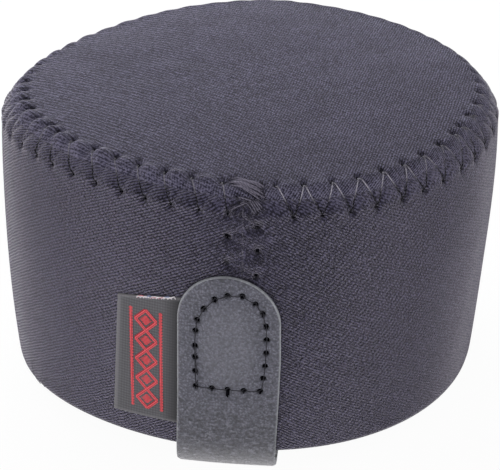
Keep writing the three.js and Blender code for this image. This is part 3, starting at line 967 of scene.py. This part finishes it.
def bobbin_crown():
    """The lower thread of the crown seam, in the corner between the two linings."""
    low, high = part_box("crown_seam_bobbin_thread")
    middle = ((low.z + high.z) / 2 / MM) - CAP_AT[2]
    return np.array([round_at(a, *((39.6, middle + 1.05) if s > S_BUTT else (41.6, middle - 1.05)))
                     for a, s in CROWN_HOLES])


def thread(name, paths, radius, mat, node, pale=None):
    """A thread that stands for a node of the CAD."""
    return finish_piece(tube(name, paths, radius, pale=pale), mat, "thread", node)


LOWER_THREAD_R = 0.17
thread("crown_seam_thread", [stitch_path(CROWN_HOLES, crown_lift, gathered=0.3)], 0.11, THREAD_MAT,
       "crown_seam_needle_thread", pale_top)
thread("side_seam_thread", [stitch_path(SIDE_HOLES, -0.26, dip=0.9, edge=0.3)], 0.13, SIDE_THREAD_MAT,
       "side_seam_needle_thread")
bar_paths = [stitch_path(leg, 0.02 + 0.1 * ((i * 7) % 3), edge=0.25, gathered=0.5 * math.sin(i * 1.3))
             for i, leg in enumerate(BAR_LEGS)]
thread("bartack_bundle", bar_paths, 0.125, BUNDLE_MAT, "bartack_thread", pale_bundle)
thread("crown_seam_lower_thread", [resample(bobbin_crown())], LOWER_THREAD_R, THREAD_MAT,
       "crown_seam_bobbin_thread")
side_in = np.array([(a, s) for a, s in SIDE_HOLES if s < S_WALL - 2.4])
thread("side_seam_lower_thread", [resample(on_outline(*side_in.T, -LAMINATE - 0.12))], LOWER_THREAD_R,
       THREAD_MAT, "side_seam_bobbin_thread")


# Pull tab: one strap from its rounded outer end, round the rim, to its rounded inner end

TAB_HALF, TAB_TOP, STRAP = 9.1, 36.2, 1.2
STANDOFF, INNER_STANDOFF = 0.8, 0.35
FOLD_Z = -3.2 + STRAP / 2
# Height where the two legs turn into the fold, and where the loop begins to hang free
FOLD_TOP, BEND_Z = 1.6, 12.5


def lean(z):
    """The photo's places at the front, told apart from the cap's own lean."""
    return LEAN * smooth(np.clip(z / WALL_H, 0, 1))


def front_point(r, x, z):
    x = x + lean(z)
    return np.stack([x, -np.sqrt(r * r - x * x), z + 0 * x], -1)


def tab_line():
    """The strap's middle line in (radius, height), from the outer end down, round and up inside."""
    z = np.linspace(TAB_TOP, FOLD_TOP, 90)
    hang = 1.3 * np.clip((12.6 - z) / 12.6, 0, 1) ** 1.4
    outer = np.c_[wall_r(z) + STANDOFF + STRAP / 2 + hang, z]
    z_in = np.linspace(FOLD_TOP, TAB_TOP, 80)
    ease = smooth(np.clip((BEND_Z - z_in) / 11, 0, 1))
    reach_in = -(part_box("pull_tab_loop")[1].y / MM - CAP_AT[1]) + STRAP / 2
    inset = LAMINATE + INNER_STANDOFF + STRAP / 2
    inner_r = (wall_r(z_in) - inset) * (1 - ease) + (reach_in + 0.15) * ease
    a = np.linspace(0, math.pi, 36)[1:-1]
    middle, half = (outer[-1, 0] + inner_r[0]) / 2, (outer[-1, 0] - inner_r[0]) / 2
    fold = np.c_[middle + half * np.cos(a), FOLD_TOP - (FOLD_TOP - FOLD_Z) * np.sin(a)]
    line = evenly(np.vstack([outer, fold, np.c_[inner_r, z_in]]), 420)
    for _ in range(30):
        line[1:-1] = line[:-2] / 4 + line[1:-1] / 2 + line[2:] / 4
    # Rounding the fold off has lifted it: it goes back down
    low = line[:, 1].min()
    sink = np.clip((6 - line[:, 1]) / (6 - low), 0, 1)
    line[:, 1] -= (low - FOLD_Z) * sink ** 2
    return line


D_ROW = [(-9.8, 13.9), (-6.8, 13.9), (-4.0, 13.9), (-1.1, 13.9), (1.8, 13.9), (2.2, 16.6), (2.45, 19.1),
         (2.6, 21.8), (2.7, 24.5), (2.6, 27.2), (2.0, 29.7), (0.75, 31.6), (-1.6, 33.0), (-4.2, 32.8),
         (-6.5, 31.8), (-8.4, 29.7), (-9.6, 27.3), (-9.9, 25.1), (-10.0, 22.1), (-9.95, 19.8),
         (-9.9, 17.0), (-9.8, 13.9)]
D_ROW = [(x + 4.05, z) for x, z in D_ROW]
# Where the row ends it is sewn back over itself
BACKTACK = [(-5.35, 15.6), D_ROW[-3], (-5.5, 20.9)]


def strap_steps(total):
    """Distances along the strap: fine round both ends and on the stitched leg."""
    crowding, stitched_to = 1.6, 24
    start = np.linspace(0, 1, 36)[:-1] ** crowding * TAB_HALF
    end = total - np.linspace(1, 0, 22) ** crowding * TAB_HALF
    return np.r_[start, np.arange(TAB_HALF, stitched_to, 0.2), np.arange(stitched_to, total - TAB_HALF, 0.4), end]


def strap():
    line = tab_line()
    seg = lengths(line)
    total = seg[-1]
    steps = strap_steps(total)
    r, z = (np.interp(steps, seg, column) for column in line.T)
    tr, tz = np.gradient(r, steps), np.gradient(z, steps)
    n = np.hypot(tr, tz)
    outer_last = int(np.searchsorted(steps, seg[int(np.argmin(line[:, 1]))]))
    on_outer = np.arange(len(steps)) <= outer_last
    d, r, z, nr, nz, on_outer = (q[:, None] for q in (steps, r, z, -tz / n, tr / n, on_outer))
    # Round the section: over the outer face, down one cut edge, back over the inner face and up
    count = 101
    width = 0.4 * np.sin(np.linspace(-math.pi / 2, math.pi / 2, count)) + 0.6 * np.linspace(-1, 1, count)
    cut = np.array([0.5, 0.0, -0.5])
    u = np.r_[width, np.ones(3), width[::-1], -np.ones(3)]
    side = np.r_[np.ones(count), cut, -np.ones(count), -cut]
    face, top = np.abs(side) == 1, side == 1
    to_end = np.minimum(np.minimum(d, total - d), TAB_HALF)
    half = np.sqrt(np.maximum(TAB_HALF ** 2 - (TAB_HALF - to_end) ** 2, 0.02))
    x, to_edge = u * half, half * (1 - np.abs(u))
    # Pits of the stitched row, the pad that it encloses and the nick under it
    near = np.min([np.hypot(hx - x, hz - z) for hx, hz in D_ROW], axis=0)
    cushion = np.maximum(0, 1 - np.hypot((x + 0.4) / 5.4, (z - 23.2) / 8.6) ** 2)
    nick = bell(np.hypot((x - 0.1) / (0.25 + 0.3 * np.maximum(0, z - 12.2)), (z - 12.9) / 0.9), 1)
    dent = 0.78 * bell(near, 0.5, 4) + 0.14 * bell(near, 1.5) - 0.3 * cushion * top + 0.35 * nick
    dent = dent * on_outer
    waves = rng.normal(0, 1, (6, 3))
    wave = sum(w[0] * np.sin(x / (3.2 + j) + w[1] * 3) * np.sin(d / (2.3 + 0.9 * j) + w[2] * 3)
               for j, w in enumerate(waves))
    low = np.where(on_outer, bell(z - 4, 6.5), 0.3)
    off = side * np.where(face, STRAP / 2 - 0.22 * bell(to_edge, 0.28), STRAP / 2 * 1.1)
    off = off - dent * top + 0.05 * wave * (0.25 + low)
    out = off - 0.3 * np.maximum(dent, 0) * (side == -1)
    # The cut edges bulge, and the loop narrows and hangs to the left
    sag = np.where(on_outer, np.clip((20 - z) / 20, 0, 1), 1.0)
    bulge = np.where(face, 0.0, np.where(u >= 0, 0.07, -0.07))
    xx = (x + bulge) * (1 - 0.042 * sag) - 0.475 * sag * (on_outer | (z < 10))
    # The loop below the rim is flatter than the round wall
    rr = r + nr * out
    flatness = np.clip((10 - z) / 10, 0, 1)
    y = -np.sqrt(np.maximum(rr * rr - xx * xx, 1.0)) * (1 - flatness)
    y += (-rr + 0.35 * (xx / TAB_HALF) ** 2) * flatness
    verts = np.stack([xx + lean(z) * on_outer, y, z + nz * out], -1)
    at = np.stack([x, np.where(on_outer, z, 60 + d) + 0 * x, off], -1)
    # Painted shade in the stitch holes and the nick; painted highlight on the pad, along the fold, a little on
    # the lower part, and along the cut edges
    dark = np.maximum(bell(near, 0.56, 6), 0.9 * nick)
    pad_highlight = np.maximum(0, 1 - np.hypot((x + 0.4) / 6.0, (z - 22.6) / 10.2) ** 4)
    fold_highlight = np.minimum(1, bell(z + 3.0, 3.6) + 0.08 * np.clip((12 - z) / 12, 0, 1))
    layers = [("hole", dark * on_outer * top), ("edge", np.where(face, 0.8 * bell(to_edge, 0.14), 1.0)),
              ("pad_highlight", pad_highlight * on_outer * top), ("fold_highlight", fold_highlight + 0 * x)]
    m, rows = len(side), len(steps)
    faces = grid_faces(0, rows, m, True)
    faces += [tuple(reversed(range(m))), tuple(range((rows - 1) * m, rows * m))]
    return outward(mesh_object("pull_tab_strap", place(verts.reshape(-1, 3)), faces,
                               [("strap", at.reshape(-1, 3))] + [(k, q.reshape(-1)) for k, q in layers]))


tab = finish_piece(strap(), STRAP_MAT, "tab", "pull_tab_outer_end", "pull_tab_loop", "pull_tab_inner_end",
                   body=None, shaded_from=0.55)


def row_thread(name, off_wall, rise, sink, radius, node):
    """The D-shaped row: off the wall's outside by so much, rising between the holes and sunk in them."""
    path = []
    points = D_ROW + BACKTACK
    t = np.linspace(0, 1, 14)[:-1]
    high = smooth(np.minimum(np.minimum(t, 1 - t) / 0.22, 1))
    for (x0, z0), (x1, z1) in zip(points[:-1], points[1:]):
        z = z0 + (z1 - z0) * t
        r = wall_r(z) + off_wall - sink + (rise + sink) * high
        path.append(front_point(r, x0 + (x1 - x0) * t, z))
    return thread(name, [np.vstack(path)], radius, BLACK_THREAD_MAT, node)


row_thread("tab_stitch_thread", STANDOFF + STRAP, -0.02, 0.8, 0.095, "tab_stitch_needle_thread")
row_thread("tab_stitch_lower_thread", -LAMINATE - INNER_STANDOFF - STRAP, -0.05, -0.1, LOWER_THREAD_R,
           "tab_stitch_bobbin_thread")


# Label: one ribbon folded at its left edge, both ends caught under the tab

LABEL_RIGHT = -4.9
PLY, PLY_GAP = 0.17, 0.06
LABEL_REACH = 16.0


def label():
    """The ribbon's middle line runs left on the outside, round the fold and back right."""
    across, up, turns = 60, 72, 8
    ease = np.linspace(0, 1, across)
    # How far left, and the ply: 1 is the outer one, -1 the inner one, and the fold lies between
    t = np.r_[ease, np.ones(turns - 1), 1 - ease]
    side = np.r_[np.ones(across), np.cos(math.pi * np.arange(1, turns) / turns), -np.ones(across)]
    bow = np.sqrt(1 - side ** 2)
    v = np.linspace(0, 1, up)[:, None]
    z_right, z_left, x_left = 4.8 + 26.0 * v, 4.5 + 23.7 * v, -21.4 + 1.35 * v
    x = LABEL_RIGHT + (x_left - LABEL_RIGHT) * t - 0.12 * bow
    slope = np.maximum(0, (x - LABEL_RIGHT) / (x_left - LABEL_RIGHT)) ** 1.2
    z = z_right + (z_left - z_right) * slope
    lift = (0.33 + 0.35 * np.maximum(0, t - 0.45) ** 1.5 * (0.6 + 0.4 * np.sin(v * 5.1 + 1))
            + 0.05 * np.sin(9 * t + 7 * v))
    off = lift + side * (PLY + PLY_GAP) / 2 * (1 + 0.8 * np.maximum(0, t - 0.8))
    verts = [front_point(wall_r(z) + (off + layer * side), x - layer * bow, z).reshape(-1, 3)
             for layer in (0.5 * PLY, -0.5 * PLY)]
    at = np.stack([np.where(side > 0, t, 2 - t) * LABEL_REACH + 0 * v, z, 0 * z], -1).reshape(-1, 3)
    edge = np.maximum(0.7 * bell((1 - t) * LABEL_REACH, 0.5), 0.8 * bell(np.minimum(v, 1 - v) * 26, 0.35))
    n, last = len(t), (up - 1) * len(t)
    k = up * n
    faces = grid_faces(0, up, n, False) + grid_faces(k, up, n, False, flip=True)
    for i in range(0, last, n):
        faces.append((i, i + n, k + i + n, k + i))
        faces.append((i + n - 1, k + i + n - 1, k + i + 2 * n - 1, i + 2 * n - 1))
    for j in range(n - 1):
        faces.append((j, k + j, k + j + 1, j + 1))
        faces.append((last + j, last + j + 1, k + last + j + 1, k + last + j))
    return outward(mesh_object("label_ribbon", place(np.vstack(verts)), faces,
                               [("weave", np.tile(at, (2, 1))), ("edge", np.tile(edge.reshape(-1), 2))]))


label_cloth = finish_piece(label(), LABEL_MAT, "label", "label_root", "label_flap", body=None)


def label_surface(x, z, lift):
    t = (x - LABEL_RIGHT) / (-21.0 - LABEL_RIGHT)
    rise = 0.33 + 0.28 * np.maximum(0, t - 0.45) ** 1.5 + 0.2
    return front_point(wall_r(z) + rise + lift, x, z)


def motif():
    """A plain woven ornament of satin stitches: a chain of lozenges between two border lines."""
    count, pitch, wide, mid, x0 = 5, 4.0, 3.9, 16.5, -15.1
    border_at, border_count, leg_count = 2.75, 34, 6
    low = mid - count * pitch / 2
    rings, sides = 7, 8
    t = np.linspace(-1, 1, rings)[:, None]
    a = TAU * np.arange(sides) / sides
    girth = np.sqrt(np.maximum(0.06, 1 - 0.94 * t * t))
    verts, faces, at = [], [], []

    def stitch(x, z, dx, dz, length, width, height):
        """One short raised stitch lying along (dx, dz)."""
        base, n = len(verts) * rings * sides, math.hypot(dx, dz)
        dx, dz = dx / n, dz / n
        along, across = t * length / 2 + 0 * a, np.cos(a) * width / 2 * girth
        up = 0.02 + np.sin(a) * height * girth
        points = label_surface(x + dx * along - dz * across, z + dz * along + dx * across, up)
        verts.append(points.reshape(-1, 3))
        at.append(np.stack([along, across, 0 * across], -1).reshape(-1, 3))
        faces.extend(grid_faces(base, rings, sides, True))
        last = base + (rings - 1) * sides
        faces.extend([tuple(reversed(range(base, base + sides))), tuple(range(last, last + sides))])

    for side in (-1, 1):
        for k in range(2 * count):
            z_a, z_b = low + k * pitch / 2, low + (k + 1) * pitch / 2
            x_a, x_b = (0, side * wide / 2)[::1 if k % 2 == 0 else -1]
            for i in range(leg_count):
                q = (i + 0.5) / leg_count
                stitch(x0 + x_a + (x_b - x_a) * q, z_a + (z_b - z_a) * q, x_b - x_a, z_b - z_a,
                       0.68, 0.74, 0.13)
    for k in range(count):
        for i in range(-3, 4):
            half = (1 - abs(i) / 4) * 1.15
            stitch(x0, low + (k + 0.5) * pitch + i * 0.26, 1, 0, 2 * half + 0.15, 0.27, 0.11)
    step = (count * pitch + 0.2) / border_count
    for side in (-1, 1):
        for i in range(border_count):
            stitch(x0 + side * border_at, low - 0.1 + (i + 0.5) * step, 0, 1, 0.66, 0.72, 0.13)
    return outward(mesh_object("label_motif_threads", place(np.vstack(verts)), faces,
                               [("weave", np.vstack(at))]))


finish_piece(motif(), MOTIF_MAT, "motif", "label_motif", body="label")


# Frayed ends of coloured weft along the label's upper cut edge, and stray threads at the rim

def hair(name, paths, radius, colour, slot, body):
    mat = thread_material(name, tuple(int(c * 0.75) for c in colour), colour, 0.6)
    finish_piece(tube(name, paths, radius, sides=5), mat, slot, body=body)


def label_top(x):
    return 30.8 - 2.6 * np.maximum(0, (LABEL_RIGHT - x) / 15.0) ** 1.2


def fray(seed, *xs):
    """Cut weft ends lying along the label's upper edge."""
    local = np.random.default_rng(seed)
    paths = []
    for x in xs:
        run, height = local.uniform(0.7, 1.5), local.uniform(0.02, 0.3)
        dip = local.normal(0, 0.1)
        at = x + run * np.array([-1 / 2, -1 / 3, 0, 1 / 3, 1 / 2])
        up = np.array([-0.25, height * 0.7, height, height * 0.8 + dip, -0.2])
        lift = np.array([0.0, 0.12, 0.16 + dip * 0.3, 0.12, 0.0])
        paths.append(resample(label_surface(at, label_top(at) + up, lift), 0.1))
    return paths


def stray(seed, az, s, length, bend):
    """A loose fibre that lies in a bow on the cloth."""
    t = np.linspace(0, 1, 12)
    bow = 0.5 * np.sin(math.pi * t) * np.random.default_rng(seed).uniform(0.5, 1, 12)
    turned = az + bend * t * t + 0.4 * np.sin(5 * t + seed)
    return resample(on_outline(turned, s + length * t, 0.1 + bow), 0.15)


hair("label_fray_white", fray(3, -16.3, -15.5, -14.9, -13.7, -13.2, -12.4, -11.5, -11.0, -10.3), 0.12,
     (244, 238, 242), "label", "label")
hair("label_fray_pink", fray(5, -15.9, -13.6, -12.2), 0.11, (206, 132, 142), "motif", "label")
hair("label_fray_blue", fray(8, -14.3, -11.0), 0.11, (150, 160, 200), "label", "label")
hair("stray_fibres", [stray(1, -57.5, 0.2, 2.6, 3.0), stray(2, -61.0, 0.1, 3.4, -2.5),
                      stray(4, -59.0, 0.1, 2.0, 1.0), stray(6, 9.5, 6.5, 2.2, -1.6),
                      stray(7, 118.0, 0.2, 2.4, 1.5)], 0.05, (96, 94, 102), "thread", "cap")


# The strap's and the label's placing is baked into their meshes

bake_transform(tab)
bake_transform(label_cloth)


# Floor, light and camera

def seen(m):
    """1 for the rays that only show the background."""
    rays = m.add("LightPath").outputs
    found = Value(m, rays["Is Camera Ray"])
    return found.by("MAXIMUM", rays["Is Glossy Ray"]).by("MAXIMUM", rays["Is Transmission Ray"])


def floor():
    """A white floor that keeps the object's shadow, in line with the rim's front and back."""
    m = material("floor_white")
    m.finish((0.86, 0.86, 0.87, 1), Roughness=0.9, Specular_IOR_Level=0.1)
    glow = m.add("Emission", (1, 1, 1, 1), 1.0)
    mix = m.add("MixShader", seen(m) * 0.96, m.bsdf.outputs[0], glow.outputs[0])
    m.put(m.tree.nodes["Material Output"].inputs["Surface"], mix.outputs[0])
    front, back = (-40.0, -0.36), (44.5, 2.85)
    slope = (back[1] - front[1]) / (back[0] - front[0])
    size = 3000.0
    corners = [(x * MM, y * MM, (front[1] + slope * (y - front[0])) * MM)
               for x, y in ((-size, -size), (size, -size), (size, size), (-size, size))]
    obj = mesh_object("floor", corners, [(0, 1, 2, 3)], smooth_shading=False)
    obj.data.materials.append(m.owner)


def lamp(name, at, target, size, power, colour=(1, 1, 1)):
    light = bpy.data.lights.new(name, "AREA")
    light.shape = "RECTANGLE"
    light.size, light.size_y = size
    light.energy = power
    light.color = colour
    obj = bpy.data.objects.new(name, light)
    obj.location = at
    obj.rotation_euler = (Vector(target) - Vector(at)).to_track_quat("-Z", "Y").to_euler()
    bpy.context.scene.collection.objects.link(obj)


def studio():
    world = bpy.data.worlds.new("studio")
    bpy.context.scene.world = world
    m = Nodes(world)
    ground = m.tree.nodes["Background"]
    ground.inputs["Color"].default_value = (0.9, 0.9, 0.92, 1)
    ground.inputs["Strength"].default_value = 0.42
    white = m.add("Background", (1, 1, 1, 1), 1.0)
    both = m.add("MixShader", seen(m), ground.outputs[0], white.outputs[0])
    m.put(m.tree.nodes["World Output"].inputs["Surface"], both.outputs[0])


def camera():
    """The camera fitted to the photo: above the front, looking at a point on the cap's axis."""
    e, roll, pan, tilt = (math.radians(a) for a in (26.078, 0.593, -0.047, -0.358))
    target_z, distance = 26.0, 625.1
    right = np.array([1.0, 0, 0])
    up = np.array([0, math.sin(e), math.cos(e)])
    back = np.array([0, -math.cos(e), math.sin(e)])
    stand = np.array([0, 0, target_z]) + distance * back
    r1 = math.cos(pan) * right + math.sin(pan) * back
    b1 = math.cos(pan) * back - math.sin(pan) * right
    b2 = math.cos(tilt) * b1 - math.sin(tilt) * up
    u2 = math.cos(tilt) * up + math.sin(tilt) * b1
    r3 = math.cos(roll) * r1 + math.sin(roll) * u2
    u3 = -math.sin(roll) * r1 + math.cos(roll) * u2
    turn = np.array(Matrix.Rotation(TURN, 3, "Z"))
    columns = [turn @ v for v in (r3, u3, b2)] + [(turn @ stand + CAP_AT) * MM]
    data = bpy.data.cameras.new("camera")
    data.sensor_width = 36.0
    data.sensor_fit = "HORIZONTAL"
    data.lens = 240.61
    data.clip_start, data.clip_end = 0.01, 20
    obj = bpy.data.objects.new("camera", data)
    obj.matrix_world = Matrix([*np.array(columns).T, (0, 0, 0, 1)])
    bpy.context.scene.collection.objects.link(obj)
    bpy.context.scene.camera = obj


floor()
lamp("top_soft", (-0.12, 0.30, 0.2), (0, 0, 0.04), (0.3, 0.3), 1.7, (0.9, 0.93, 1.0))
lamp("left_soft", (-0.65, 0.35, 0.32), (0, 0, 0.03), (0.6, 0.6), 2.45, (1.0, 0.945, 0.89))
lamp("right_soft", (0.65, 0.35, 0.32), (0, 0, 0.03), (0.6, 0.6), 1.45, (1.0, 0.985, 0.97))
lamp("front_soft", (0.1, -0.9, 0.4), (0, 0, 0.03), (0.5, 0.4), 1.6)
lamp("front_low", (0.0, -0.7, 0.07), (0, 0, 0.0), (0.3, 0.12), 1.3)
studio()
camera()
bpy.context.scene.view_settings.view_transform = "Standard"


bpy.context.view_layer.update()
